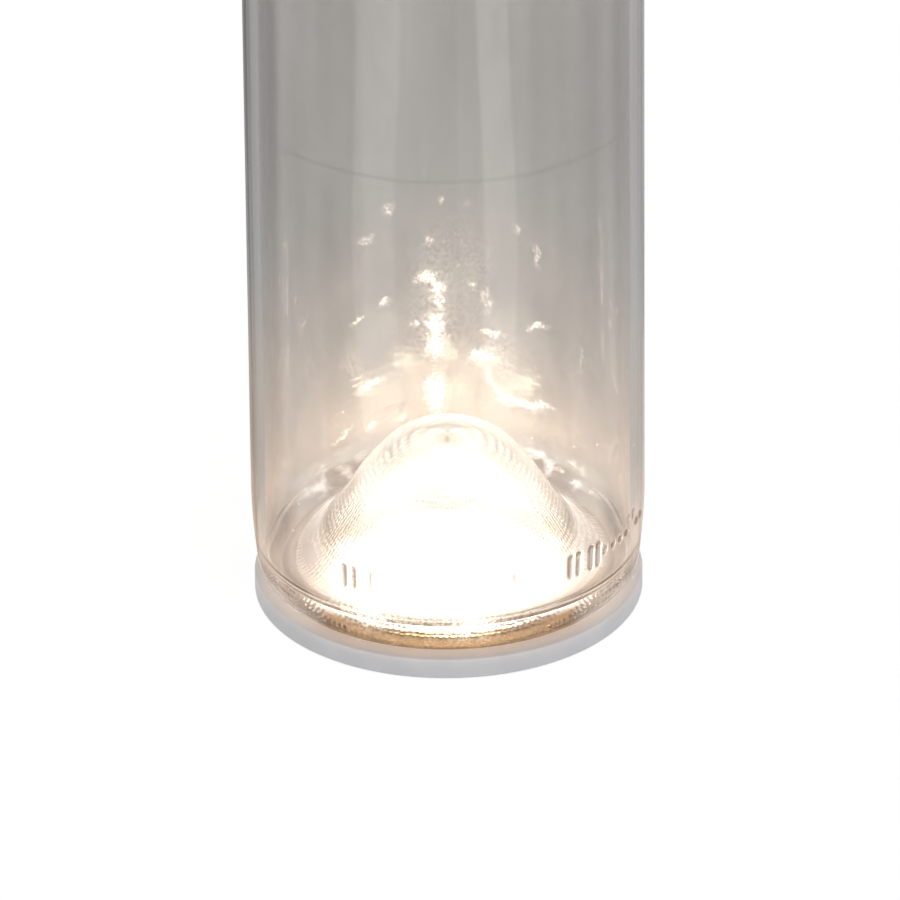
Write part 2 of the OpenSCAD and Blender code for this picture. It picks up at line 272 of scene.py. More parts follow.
def makeStudio(plan):
    world = bpy.data.worlds.new("studio")
    world.use_nodes = True
    bpy.context.scene.world = world
    graph = Graph(world, world.node_tree)
    seen = whiteForViewer(graph)
    level = seen * (1 - plan["worldLevel"]) + plan["worldLevel"]
    back = graph.node("ShaderNodeBackground", None, {"Color": plan["white"], "Strength": level})
    graph.node("ShaderNodeOutputWorld", None, {"Surface": back})

    light = bpy.data.lights.new("key", "AREA")
    light.energy = plan["keyPower"]
    light.size = plan["keySize"]
    key = newPiece("key", light)
    key.location = plan["keyPlace"]
    key.rotation_euler = (Vector(plan["keyAim"]) - key.location).to_track_quat("-Z", "Y").to_euler()

    half, drop = plan["floorSize"] / 2, -plan["floorDrop"]
    corners = [(-half, -half, drop), (half, -half, drop), (half, half, drop), (-half, half, drop)]
    floor = meshPiece("floor", corners, [(0, 1, 2, 3)])
    graph = newMaterial("floorWhite")
    seen = whiteForViewer(graph)
    matt = graph.node("ShaderNodeBsdfDiffuse", None, {"Color": plan["floorShade"]})
    faint = graph.node("ShaderNodeBsdfDiffuse", None, {"Color": plan["floorFaint"]})
    glow = graph.node("ShaderNodeEmission", None, {"Color": plan["white"], "Strength": plan["floorGlow"]})
    shown = graph.node("ShaderNodeAddShader", None, {0: faint, 1: glow})
    both = graph.node("ShaderNodeMixShader", None, {0: seen, 1: matt, 2: shown})
    below = graph.node("ShaderNodeNewGeometry", output="Backfacing")  # the floor is clear from below
    clear = graph.node("ShaderNodeBsdfTransparent")
    graph.node("ShaderNodeOutputMaterial", None, {
        "Surface": graph.node("ShaderNodeMixShader", None, {0: below, 1: both, 2: clear})})
    colourMesh(floor, graph.owner)


makeStudio(studioPlan)

surroundPlan = {
    "inner": 35.5 * mm,
    "radius": 62 * mm,
    "foot": 0.5 * mm,
    "height": 250 * mm,
    "fullHeight": 105 * mm,  # above this the bands fade
    "columns": 96,
    "shade": (0.09, 0.09, 0.09),
    "warmShade": (0.30, 0.21, 0.13),
    "warmSpan": (45 * mm, 10 * mm),  # heights between which the shade turns warm
    "general": 0.21,  # how dark the plain parts are
    "most": 0.92,  # the darkest that it gets
    "lean": 0.8,  # degrees that the cards turn to the side, for each mm closer to the bottle
    "waver": (14, 5),  # of the bands' edges: scale of the noise, and degrees
    # for the windows, where the surround is clearer, and the cards, where it is darker: the shares of the
    # left and the right one, the angle from the side to the middle, the half width, and a card's depth
    "windows": ((0, 0.6, 81.0, 3.0), (0.55, 0, 77.6, 4.0)),
    "windowEdge": 0.15,  # the softened share of the half width
    "cards": ((1, 0.62, 43, 9, 0.60), (1, 0.78, 20, 17, 0.37)),
    "cardEdge": 0.35,
    "behind": (6.0, 0.09),  # the card straight behind: half width in degrees, depth
    "lowShare": 0.85,  # how much of the cards' depth is left at the table
    "lowSpan": (25 * mm, 85 * mm),
}


# painted reflections: soft dark bands round the bottle, which only the glass shows, so that clear glass has
# edges
def makeSurround(plan):
    count, foot = plan["columns"], plan["foot"]
    ring = [math.tau * i / count for i in range(count)]
    rows = ((plan["inner"], foot), (plan["radius"], foot), (plan["radius"], plan["height"]))
    points = [(radius * math.cos(a), radius * math.sin(a), z) for radius, z in rows for a in ring]
    faces = []
    for low in range(0, (len(rows) - 1) * count, count):
        for i in range(count):
            j = (i + 1) % count
            faces.append((i + low, j + low, j + low + count, i + low + count))
    surround = meshPiece("surround", points, faces)
    graph = newMaterial("paintedReflectionBands")
    x, y, z = graph.split(graph.place())
    away = abs(graph.maths("ARCTAN2", y, abs(x))) * (180 / math.pi)
    closer = plan["radius"] - (x * x + y * y) ** 0.5
    waverScale, waverReach = plan["waver"]
    waver = (graph.noise(graph.place(), waverScale, 1.0) - 0.5) * waverReach
    away = closer * (plan["lean"] / mm) + away + waver
    onLeft = graph.maths("LESS_THAN", x, 0.0)
    clearShare = 0.0
    for left, right, middle, half in plan["windows"]:
        band = graph.band(away - middle, half, plan["windowEdge"])
        clearShare = band * (onLeft * (left - right) + right) + clearShare
    edge = plan["cardEdge"]
    half, depth = plan["behind"]
    behind = graph.step(away, 90 - half * (1 + edge), 90 - half * (1 - edge))
    dark = (1 - clearShare) * plan["general"] + behind * depth
    cardShare = graph.step(z, *plan["lowSpan"]) * (1 - plan["lowShare"]) + plan["lowShare"]
    for left, right, middle, half, depth in plan["cards"]:
        band = graph.band(away - middle, half, edge)
        dark = band * (onLeft * (left - right) + right) * cardShare * depth + dark
    fade = graph.step(z, plan["height"], plan["fullHeight"])
    warmth = graph.step(z, *plan["warmSpan"])
    # the painted shade that the glass reflects, warmer low down
    shade = graph.node("ShaderNodeEmission", None, {
        "Color": graph.mix(warmth, plan["shade"], plan["warmShade"]), "Strength": 1.0})
    clear = graph.node("ShaderNodeBsdfTransparent")
    share = graph.maths("MINIMUM", dark, plan["most"]) * fade
    both = graph.node("ShaderNodeMixShader", None, {0: share, 1: clear, 2: shade})
    graph.node("ShaderNodeOutputMaterial", None, {"Surface": both})
    colourMesh(surround, graph.owner)
    for ray in ("camera", "diffuse", "shadow"):
        setattr(surround, "visible_" + ray, False)


makeSurround(surroundPlan)

print("stage: bottle")
bottlePlan = {
    "bodyRadius": 33.4 * mm,
    "height": 272 * mm,
    "wall": 2.4 * mm,
    "heelRadius": 4.3 * mm,
    "heelIn": 0.8 * mm,
    "heelHeight": 17 * mm,
    "landWidth": 3.8 * mm,
    "landRound": 0.9 * mm,
    "standoff": 0.03 * mm,  # keeps the glass's underside clear of the disc
    "hollowHeight": 24 * mm,
    "hollowBelly": 2.4,
    "hollowFoot": 1.7,
    "hollowWall": 3 * mm,
    "domeBelly": 3.0,
    "domeFoot": 3.0,
    "baseWall": 5 * mm,
    "trough": 2.9 * mm,
    "shoulderHeight": 157 * mm,
    "shoulderRadius": 22 * mm,
    "throatRadius": 16 * mm,
    "neckRadius": 14.2 * mm,
    "neckTop": 13.2 * mm,
    "ringRadius": 14.7 * mm,
    "ringHeight": 6.5 * mm,
    "lipHeight": 4 * mm,
    "lipOut": 0.5 * mm,  # how far the lip stands out from the neck
    "edgeRound": 0.8 * mm,
    "mouthRadius": 9.25 * mm,
    "mouthLength": 26 * mm,
    "columns": 420,
    "bunch": 0.42,  # how much closer the columns stand round the marks
    "bunchAngle": -65,  # degrees, from +X
    # rows of points from the hollow up to the mouth, and down again inside
    "hollowRows": 44,
    "heelRows": 10,
    "lowRows": 32,  # close rows for the marks
    "lowStep": 0.4 * mm,
    "sideRows": 14,
    "shoulderRows": 14,
    "throatRows": 8,
    "edgeRows": 4,
    "innerShoulderRows": 12,
    "innerSideRows": 18,
    "troughRows": 10,
    "domeRows": 34,
    "wave": 0.10 * mm,  # unevenness of the inside
    "waveAround": 2.2,  # how quickly it changes round the wall
    "waveUp": 16,  # and up it
    "waveFade": 60,  # it fades towards the axis: its share is the radius in metres times this, at most 1
    "waveSeed": 4.0,
    "seamMerge": 1e-6,  # the first and the last column are joined
    "markHeight": 14 * mm,
    "markTall": 4.4 * mm,
    "markWidth": 1.1 * mm,
    "markOut": 0.36 * mm,
    "markFoot": 1.25,  # a mark's soft edge ends this many half widths from its middle
    "markFlat": 1.5,  # how flat its top is
    "bars": (-122, -119, -114, -75, -70, -52, -49, -44, -41),
    "dots": (-38, -34, -30, -26, -18, -14, 60, 64, 68, 104, 108),
}
hollowSkin, outerSkin, innerSkin = 0.0, 1.0, 2.0  # the glass's three surfaces
softSkin = 0.4  # a skin's share is whole this close to its number


def arc(x, z, radius, start, end, steps):
    points = []
    for i in range(steps + 1):
        angle = math.radians(start + (end - start) * i / steps)
        points.append((x + radius * math.cos(angle), z + radius * math.sin(angle)))
    return points


# a bell-shaped dome, from its top down to its foot
def dome(radius, low, rise, belly, foot, steps):
    shares = [i / steps for i in range(steps + 1)]
    return [(radius * u, low + rise * max(0.0, 1 - u ** belly) ** foot) for u in shares]


def sideRadius(plan, height):
    heel = plan["heelRadius"]
    if height >= plan["heelHeight"]:
        return plan["bodyRadius"]
    share = (height - heel) / (plan["heelHeight"] - heel)
    return plan["bodyRadius"] - plan["heelIn"] * (1 - math.sin(math.pi / 2 * share))


# the outline of the glass from the top of the hollow, round the outside, to the top of the dome inside
def bottleOutline(plan):
    body, wall, heel = plan["bodyRadius"], plan["wall"], plan["heelRadius"]
    landOuter = body - plan["heelIn"] - heel
    hollowRadius = landOuter - plan["landWidth"]
    soft = plan["landRound"]
    shoulderX = body - plan["shoulderRadius"]
    throatX = plan["neckRadius"] + plan["throatRadius"]
    acrossX = throatX - shoulderX
    riseZ = math.sqrt((plan["shoulderRadius"] + plan["throatRadius"]) ** 2 - acrossX ** 2)
    bend = math.degrees(math.atan2(riseZ, acrossX))
    neckZ = plan["shoulderHeight"] + riseZ
    top = plan["height"]
    lipZ = top - plan["lipHeight"]
    ringZ = lipZ - plan["ringHeight"]
    edge = plan["edgeRound"]
    lipX = plan["neckTop"] + plan["lipOut"]
    mouth = plan["mouthRadius"]
    inner = body - wall
    trough = plan["trough"]
    floorZ = plan["baseWall"]
    troughZ = floorZ + trough
    domeRise = plan["hollowHeight"] + plan["hollowWall"] - floorZ
    lowTop = heel + plan["lowRows"] * plan["lowStep"]

    hollow = dome(
        hollowRadius, 0, plan["hollowHeight"], plan["hollowBelly"], plan["hollowFoot"], plan["hollowRows"])
    land = [(hollowRadius + soft, 0)]
    lowHeights = [heel + i * plan["lowStep"] for i in range(1, plan["lowRows"] + 1)]
    lowSide = [(sideRadius(plan, height), height) for height in lowHeights]
    side = [(body, lowTop + (plan["shoulderHeight"] - lowTop) * i / plan["sideRows"])
            for i in range(1, plan["sideRows"])]
    outer = (
        arc(landOuter, heel, heel, -90, 0, plan["heelRows"]) + lowSide + side
        + arc(shoulderX, plan["shoulderHeight"], plan["shoulderRadius"], 0, bend, plan["shoulderRows"])
        + arc(throatX, neckZ, plan["throatRadius"], 180 + bend, 180, plan["throatRows"])
        + [(plan["neckTop"], ringZ)]
        + arc(plan["ringRadius"] - edge, ringZ + edge, edge, -90, 0, plan["edgeRows"])
        + arc(plan["ringRadius"] - edge, lipZ - edge, edge, 0, 90, plan["edgeRows"])
        + [(lipX, lipZ)]
        + arc(lipX - edge, top - edge, edge, 0, 90, plan["edgeRows"])
    )
    insideSide = [(inner, troughZ + (plan["shoulderHeight"] - troughZ) * i / plan["innerSideRows"])
                  for i in range(plan["innerSideRows"] - 1, 0, -1)]
    insideDome = dome(
        inner - trough, floorZ, domeRise, plan["domeBelly"], plan["domeFoot"], plan["domeRows"])
    innerBend = plan["shoulderRadius"] - wall
    inside = (
        arc(mouth + edge, top - edge, edge, 90, 180, plan["edgeRows"])
        + [(mouth, top - plan["mouthLength"])]
        + arc(throatX, neckZ, plan["throatRadius"] + wall, 180, 180 + bend, plan["throatRows"])
        + arc(shoulderX, plan["shoulderHeight"], innerBend, bend, 0, plan["innerShoulderRows"])
        + insideSide
        + arc(inner - trough, troughZ, trough, 0, -90, plan["troughRows"])
        + insideDome[-2::-1]
    )
    rows = [(p, hollowSkin) for p in hollow + land]
    rows += [(p, outerSkin) for p in outer]
    rows += [(p, innerSkin) for p in inside]
    return [((x, max(z, plan["standoff"])), skin) for (x, z), skin in rows]


# turns a row of points into a closed glass skin, with an uneven inside
def latheTree(plan, settings):
    tree = bpy.data.node_groups.new("latheTree", "GeometryNodeTree")
    face = tree.interface
    face.new_socket("Outline", in_out="INPUT", socket_type="NodeSocketGeometry")
    names = {}
    for label, (kind, value) in settings.items():
        made = face.new_socket(label, in_out="INPUT", socket_type="NodeSocket" + kind)
        names[label] = made.identifier
    face.new_socket("Skin", in_out="OUTPUT", socket_type="NodeSocketGeometry")
    graph = Graph(tree, tree)
    entry = graph.node("NodeGroupInput").socket.node
    given = {socket.name: Wire(graph, socket) for socket in entry.outputs if socket.name}

    rows = graph.node("GeometryNodeAttributeDomainSize", {"component": "MESH"},
                      {"Geometry": given["Outline"]})
    grid = graph.node("GeometryNodeMeshGrid", None, {
        "Size X": 1.0, "Size Y": 1.0, "Vertices X": given["Columns"] + 1, "Vertices Y": rows})
    index = graph.node("GeometryNodeInputIndex")
    row = graph.maths("MODULO", index, rows)
    turn = (index - row) / rows / given["Columns"] * math.tau
    angle = turn - given["Bunch"] * graph.maths("SINE", turn) + given["Bunch Angle"]

    def fromOutline(value, kind):
        return graph.node("GeometryNodeSampleIndex", {"data_type": kind, "domain": "POINT"},
                          {"Geometry": given["Outline"], "Value": value, "Index": row})

    outline = graph.split(fromOutline(graph.node("GeometryNodeInputPosition"), "FLOAT_VECTOR"))
    stored = graph.node("GeometryNodeInputNamedAttribute", {"data_type": "FLOAT"}, {"Name": "skin"})
    skin = fromOutline(stored, "FLOAT")
    cosine = graph.maths("COSINE", angle)
    sine = graph.maths("SINE", angle)
    swirl = graph.combine(cosine * plan["waveAround"], sine * plan["waveAround"] + given["Wave Seed"],
                          outline[2] * plan["waveUp"])
    uneven = graph.noise(swirl, 1.0, 1.5) - 0.5
    inside = graph.maths("GREATER_THAN", skin, (outerSkin + innerSkin) / 2)
    fade = graph.maths("MINIMUM", outline[0] * plan["waveFade"], 1.0)
    radius = outline[0] + uneven * given["Wave"] * inside * fade
    spot = graph.combine(radius * cosine, radius * sine, outline[2])
    moved = graph.node("GeometryNodeSetPosition", None, {"Geometry": grid, "Position": spot})
    named = graph.node("GeometryNodeStoreNamedAttribute", {"data_type": "FLOAT", "domain": "POINT"},
                       {"Geometry": moved, "Name": "skin", "Value": skin})
    joined = graph.node("GeometryNodeMergeByDistance", None,
                        {"Geometry": named, "Distance": plan["seamMerge"]})
    smooth = graph.node("GeometryNodeSetShadeSmooth", None, {"Geometry": joined})
    real = graph.node("GeometryNodeRealizeInstances", None, {"Geometry": smooth})
    done = graph.node("GeometryNodeSetMaterial", None, {"Geometry": real, "Material": given["Material"]})
    graph.node("NodeGroupOutput")
    graph.feed(tree.nodes[-1].inputs[0], done)
    return tree, names


# how far a raised mark lifts the glass at a place on the outside
def markLift(plan, angle, height):
    lift = 0.0
    half = plan["markWidth"] / 2
    for marks, tall in ((plan["bars"], plan["markTall"]), (plan["dots"], plan["markWidth"])):
        for mark in marks:
            across = math.radians((math.degrees(angle) - mark + 180) % 360 - 180) * plan["bodyRadius"]
            along = max(0.0, abs(height - plan["markHeight"]) - (tall / 2 - half))
            away = math.hypot(across, along) / half
            rise = max(0.0, 1 - (away / plan["markFoot"]) ** 2)
            lift = max(lift, plan["markOut"] * min(1.0, plan["markFlat"] * rise))
    return lift


def makeBottle(plan, material):
    rows = bottleOutline(plan)
    mesh = bpy.data.meshes.new("outline")
    points = [(x, 0, z + discTop) for (x, z), skin in rows]
    mesh.from_pydata(points, [(i, i + 1) for i in range(len(rows) - 1)], [])
    skins = mesh.attributes.new("skin", "FLOAT", "POINT")
    skins.data.foreach_set("value", [skin for point, skin in rows])
    bottle = newPiece("bottleGlass", mesh)
    settings = {
        "Columns": ("Int", plan["columns"]), "Bunch": ("Float", plan["bunch"]),
        "Bunch Angle": ("Float", math.radians(plan["bunchAngle"])), "Wave": ("Float", plan["wave"]),
        "Wave Seed": ("Float", plan["waveSeed"]), "Material": ("Material", material)}
    tree, names = latheTree(plan, settings)
    lathe = bottle.modifiers.new("lathe", "NODES")
    lathe.node_group = tree
    for label, (kind, value) in settings.items():
        lathe[names[label]] = value
    settle(bottle)
    mesh = bottle.data
    reach = plan["markTall"] / 2 + plan["markWidth"]
    mesh.attributes.new("mark", "FLOAT", "POINT")
    skins = mesh.attributes["skin"].data
    marks = mesh.attributes["mark"].data
    for vertex in mesh.vertices:
        height = vertex.co.z - discTop
        if abs(height - plan["markHeight"]) > reach or skins[vertex.index].value != outerSkin:
            continue
        lift = markLift(plan, math.atan2(vertex.co.y, vertex.co.x), height)
        marks[vertex.index].value = lift / plan["markOut"]
        share = 1 + lift / math.hypot(vertex.co.x, vertex.co.y)
        vertex.co.x *= share
        vertex.co.y *= share
    closeMesh(mesh)
    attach(bottle, "bottle")
    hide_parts("bottle")


# Plain pairs are spans in mm: a share grows from 0 at the first height, radius or place to 1 at the second.
# Patterns are a noise's scale, the two levels that it is soft between, its detail and its roughness.
glassPlan = {
    "tint": (0.68, 0.673, 0.655),
    "mottleShade": (0.61, 0.603, 0.59),
    "mottleShadePatches": ((48, 48, 15), 0.36, 0.64, 4.0, 0.6),
    # painted shade: the outside of the heel is darkened to a dark brown
    "heelShadeTint": (0.045, 0.020, 0.006),
    "heelShadeSpan": (7.2, 5.0),
    "heelShadeSides": (20, 27),  # it gets paler to the left and the right
    "heelShadePaler": 0.5,
    # painted shade on the marks' steep sides, in front only
    "markEdgeShade": (0.10, 0.08, 0.06),
    "markShadeShare": 0.75,
    "markEdges": ((0.03, 0.25), (0.9, 0.5)),  # a mark's steep sides, as shares of its height
    "seamHeight": 89.5 * mm,  # a faint line round the wall
    "seamHalf": 0.6 * mm,
    "seamShare": 0.18,
    "seamWaver": (30, 3 * mm),
    "seamPatches": (60, 0.35, 0.55),
    "inFront": (6, -6),  # along Y, where the marks' painted shade and the line show
    "warm": (1.0, 0.70, 0.50),
    "bright": (1.0, 0.85, 0.70),
    "cream": (1.0, 0.90, 0.80),
    "pale": (1.0, 0.90, 0.84),
    "cloud": ((80, 80, 52), 5.0, 0.6),  # scale, detail and roughness
    "cloudGain": (1.1, 0.45),
    "wallFrom": (27, 29),
    "hazeLevel": 0.50,  # the painted glow on the inside of the wall, at hazeHeight above the disc
    "hazeHeight": 16 * mm,
    "hazeFall": 15 * mm,
    "hazeFoot": (4, 14),
    "hazeSides": (0.88, 0.06),  # its share, and what it has more in front and behind, and less at the sides
    # painted bright sparkles in the glass
    "sparkleScale": 330.0,
    "sparkleEdge": (0.10, 0.02),
    "sparklePatches": (150, 0.5, 0.62),
    "sparkleLevels": (1.4, 0.7),  # on the inside and on the outside
    "lowLevel": 0.08,  # a faint painted glow of the low inside
    "lowSpan": (17, 8),
    "veilLevel": 0.10,  # a faint painted glow of the low outside, stronger in noise patches
    "veilRest": 0.012,  # what is left of it higher up
    "veilSpan": (30, 8),
    "veilFoot": (2, 6),
    "wearAndGlowPatches": ((150, 150, 60), 0.40, 0.64, 6.0, 0.7),
    "glowPatchGain": (0.9, 0.5),
    "dotPitch": 0.85 * mm,  # rows of small bumps in the hollow
    "dotsRound": 150,
    "dotDepth": 0.10 * mm,
    "farLevel": 1.6,  # the painted glow of the hollow's far side, seen across it
    "farSpan": (18, 9),
    "farFoot": (0.2, 3),
    "nearLevel": 0.50,  # and of its near side
    "nearFoot": (0.0, 5),
    "crownLevel": 1.6,  # and what it has more further up, most of it in the middle
    "crownOuter": (19, 12),
    "crownInner": (4, 10),
    "crownTop": (15, 21),
    "crownTopLess": 0.8,
    "crownMiddle": -1 * mm,
    "crownSides": (14, 5),
    "crownSidesLess": 0.7,
    "stippleGlowLevel": 0.30,  # a painted glow of the small bumps, as they show through the dome
    "stippleEdge": (0.48, 0.16),
    "stipplePatches": (160, 0.36, 0.56),
    "stippleTop": (24, 18),
    "stippleSide": (28, 25),
    "ringLevel": 0.52,  # the trough has a painted paler glowing ring, which ends sooner at the sides and in front
    "ringInner": (19, 22.5),
    "ringOuter": (33, 29.5),
    "ringTop": (10.5, 7),
    "ringSooner": 3.5 * mm,
    "ringSides": (18, 4),
    "streaks": ((52, 13, 1.8), (133, 14, 0.7)),  # painted bright stretches: angle from +X, half length, level
    "streakEnds": (1.3, 0.6),  # half lengths between which they fade
    "streakInner": (25, 27),
    "ragged": ((260, 260, 500), 0.44, 0.70, 3.0),
    "spotRag": (520.0, 2.6 * mm),  # ragged edges of flares and glints: scale and reach
    "spotEdge": (2.5, 0.1),
    "spotPower": 3.0,
    "spotGrain": (1700, 0.38, 0.60),
    "spotGain": (0.95, 0.35),
    # painted flares of the lamps through the heel in front: place across and up, half width and height, in
    # mm, level and tilt
    "flares": (
        (-13.5, 7.5, 3.2, 2.2, 0.9, -12), (-13.5, 7.5, 7.5, 3.2, 0.28, -10), (4.0, 6.5, 3.0, 2.2, 1.1, 5),
        (4.0, 6.5, 8.5, 3.2, 0.30, 0), (-5.0, 8.0, 14.0, 3.0, 0.22, 0)),
    "flareSpan": (0.0, -8),
    "glintSpan": (0.0, 8),
    # painted reflections of the lamps in the far wall, in the same way
    "glints": (
        (-10, 53.5, 0.9, 1, 0.7, 10), (-0.5, 54.5, 0.5, 0.9, 0.5, 0), (4, 54, 0.4, 0.5, 0.3, 0),
        (-14, 48.5, 1.3, 0.8, 0.5, 0), (-3, 46.5, 0.7, 0.9, 0.6, -30), (12.5, 50, 0.6, 0.9, 0.5, 0),
        (16, 45.5, 0.6, 1.9, 0.6, 5), (-3.5, 39.5, 1.9, 0.9, 1.5, 12), (-1.5, 36.5, 0.9, 2.6, 2.2, 8),
        (-11, 36, 1, 0.6, 1.2, 15), (-15.5, 33.5, 1.1, 0.45, 1, 12), (-5.5, 31, 0.7, 0.5, 1.2, 30),
        (-2, 30, 1.5, 2.1, 3, 0), (4.5, 38, 0.6, 0.6, 0.8, 0), (7, 35, 0.9, 2, 0.7, -8),
        (8, 29, 1.9, 0.55, 1.6, 6), (16, 32, 1.6, 0.5, 1.8, 24), (-2, 26, 1.2, 1.6, 2.7, 0),
        (6, 24.5, 1.6, 1.1, 2.4, 20), (-13.5, 20.5, 2, 0.6, 1.2, 18), (-2, 17, 1.5, 3.4, 1.7, 4),
        (7.5, 20.5, 0.7, 1.7, 0.5, 28), (9, 18, 0.9, 1.4, 0.8, 35), (13, 16.5, 3, 0.75, 3.4, -4),
        (17, 17, 1.5, 0.6, 1.2, 0), (-8, 13, 1.2, 0.5, 1, 20), (-18.5, 12, 1.5, 0.35, 1.1, 32),
        (-13.5, 12.5, 0.8, 0.8, 0.9, 30), (-16.5, 25, 1.6, 4.2, 0.16, 12), (23.5, 29, 0.25, 2.4, 0.25, 0),
        (-2, 31.5, 4.5, 17, 0.22, 0), (9.5, 23.5, 4.5, 8, 0.2, 25), (5, 41.5, 3, 9, 0.11, 0)),
}


# where a point of the glass lies, and on which of its skins
class GlassPoint:
    def __init__(self, graph, plan):
        self.graph = graph
        self.plan = plan
        self.place = graph.place()
        self.x, self.y, self.z = graph.split(self.place)
        self.radius = (self.x * self.x + self.y * self.y) ** 0.5
        self.height = self.z - discTop
        self.turn = graph.maths("ARCTAN2", self.y, self.x)
        skin = graph.node("ShaderNodeAttribute", {"attribute_name": "skin"}, output="Fac")
        self.onHollow = graph.step(skin, outerSkin - softSkin, hollowSkin + softSkin)
        self.onInside = graph.step(skin, outerSkin + softSkin, innerSkin - softSkin)
        self.onOutside = (1 - self.onHollow) * (1 - self.onInside)
        self.airSide = 1 - graph.node("ShaderNodeNewGeometry", output="Backfacing")
        self.inFront = self.along(self.y, "inFront")
        scale, detail, roughness = plan["cloud"]
        gain, rest = plan["cloudGain"]
        self.cloud = graph.noise(graph.stretched(*scale), 1.0, detail, roughness) * gain + rest

    # shares over a span of the plan: of any length, of the height and of the radius
    def along(self, length, name):
        low, high = self.plan[name]
        return self.graph.step(length, low * mm, high * mm)

    def up(self, name):
        return self.along(self.height, name)

    def out(self, name):
        return self.along(self.radius, name)


# painted light: the lamps' flares and glints in the glass, as a sum of soft spots with ragged edges
def spotLevel(graph, plan, at, spots):
    scale, reach = plan["spotRag"]
    rag = graph.node("ShaderNodeTexNoise", None,
                     {"Vector": at.place, "Scale": scale, "Detail": 2.0}, "Color")
    rag = graph.vector("MULTIPLY", graph.vector("SUBTRACT", rag, (0.5, 0.5, 0.5)), (reach, reach, 0))
    flat = graph.vector("ADD", graph.combine(at.x, at.z, 0.0), rag)
    total = 0.0
    for across, up, wide, tall, strength, tilt in spots:
        local = graph.node("ShaderNodeMapping", {"vector_type": "TEXTURE"}, {
            "Vector": flat, "Location": (across * mm, up * mm + discTop, 0),
            "Rotation": (0, 0, math.radians(tilt)), "Scale": (wide * mm, tall * mm, 1)})
        spot = graph.step(graph.vector("LENGTH", local), *plan["spotEdge"]) ** plan["spotPower"]
        total = graph.maths("MULTIPLY_ADD", spot, strength, total)
    gain, rest = plan["spotGain"]
    return total * (graph.patches(*plan["spotGrain"]) * gain + rest)


# painted light: the wall glows as if it threw the disc's light back, most of all low down, and shows
# painted lamp reflections and bright sparkles
def wallGlow(graph, plan, at):
    rise = graph.maths("MAXIMUM", at.height - plan["hazeHeight"], 0.0)
    fall = graph.maths("EXPONENT", rise * (-1 / plan["hazeFall"]))
    level, more = plan["hazeSides"]
    inner = bottlePlan["bodyRadius"] - bottlePlan["wall"]
    around = (at.y * at.y - at.x * at.x) * (more / inner ** 2) + level
    haze = fall * plan["hazeLevel"] * at.cloud * around * at.up("hazeFoot")
    wall = at.onInside * at.out("wallFrom") * at.airSide
    glints = spotLevel(graph, plan, at, plan["glints"]) * at.along(at.y, "glintSpan")
    flares = spotLevel(graph, plan, at, plan["flares"]) * at.along(at.y, "flareSpan")
    # painted sparkles, fading upwards with the painted glow
    cells = graph.voronoi(at.place, plan["sparkleScale"])
    specksAndSparkles = graph.step(cells, *plan["sparkleEdge"]) * fall * graph.patches(*plan["sparklePatches"])
    inside, outside = plan["sparkleLevels"]
    bright = (glints + specksAndSparkles * inside) * wall + (flares + specksAndSparkles * outside) * at.onOutside
    low = at.up("lowSpan") * at.onInside * plan["lowLevel"]
    # patches in which the painted veil is stronger
    gain, rest = plan["glowPatchGain"]
    wearAndGlowPatches = graph.patches(*plan["wearAndGlowPatches"]) * gain + rest
    veil = at.up("veilSpan") * wearAndGlowPatches * plan["veilLevel"] + plan["veilRest"]
    low = low + at.onOutside * veil * at.up("veilFoot")
    warm = graph.scaled(plan["warm"], haze * wall + low)
    return graph.vector("ADD", warm, graph.scaled(plan["bright"], bright))


# the hollow's rows of small bumps
def stippleDots(graph, plan, at):
    around = at.turn * (plan["dotsRound"] / math.tau)
    rows = graph.combine(around, at.height * (1 / plan["dotPitch"]), 0.0)
    return graph.node("ShaderNodeTexVoronoi", {"feature": "F1", "voronoi_dimensions": "2D"},
                      {"Vector": rows, "Scale": 1.0, "Randomness": 0.35})


# painted light: the hollow glows through its bumps, and they show through the dome
def hollowGlow(graph, plan, at, dots):
    far = at.up("farSpan") * at.up("farFoot") * at.airSide
    far = far * graph.eased(at.cloud, 0.5)
    crown = at.out("crownOuter") * at.out("crownInner") * graph.eased(at.cloud, 0.6)
    crown = crown * (1 - at.up("crownTop") * plan["crownTopLess"])
    aside = abs(at.x - plan["crownMiddle"])
    crown = crown * graph.eased(at.along(aside, "crownSides"), plan["crownSidesLess"])
    near = (crown * plan["crownLevel"] + plan["nearLevel"]) * at.up("nearFoot")
    level = (far * plan["farLevel"] + near) * (1.12 - dots * 0.5) * at.onHollow
    beads = graph.step(dots, *plan["stippleEdge"]) * graph.patches(*plan["stipplePatches"])
    beads = beads * at.up("stippleTop") * at.out("stippleSide")
    level = level + beads * at.onInside * at.airSide * plan["stippleGlowLevel"]
    return graph.scaled(plan["cream"], level)


# painted light: a paler glowing ring with bright ragged stretches
def troughGlow(graph, plan, at):
    ragged = graph.patches(*plan["ragged"]) * at.out("streakInner") * at.out("ringOuter")
    bearing = at.turn * (180 / math.pi)
    long, short = plan["streakEnds"]
    streaks = 0.0
    for angle, half, level in plan["streaks"]:
        stretch = graph.step(abs(bearing - angle), half * long, half * short)
        streaks = stretch * ragged * level + streaks
    outward = at.radius + at.along(at.y, "ringSides") * plan["ringSooner"]
    ring = at.out("ringInner") * at.along(outward, "ringOuter")
    ring = ring * plan["ringLevel"] * graph.eased(at.cloud, 0.4) + streaks
    ring = ring * at.up("ringTop") * at.onInside * at.airSide
    return graph.scaled(plan["pale"], ring)


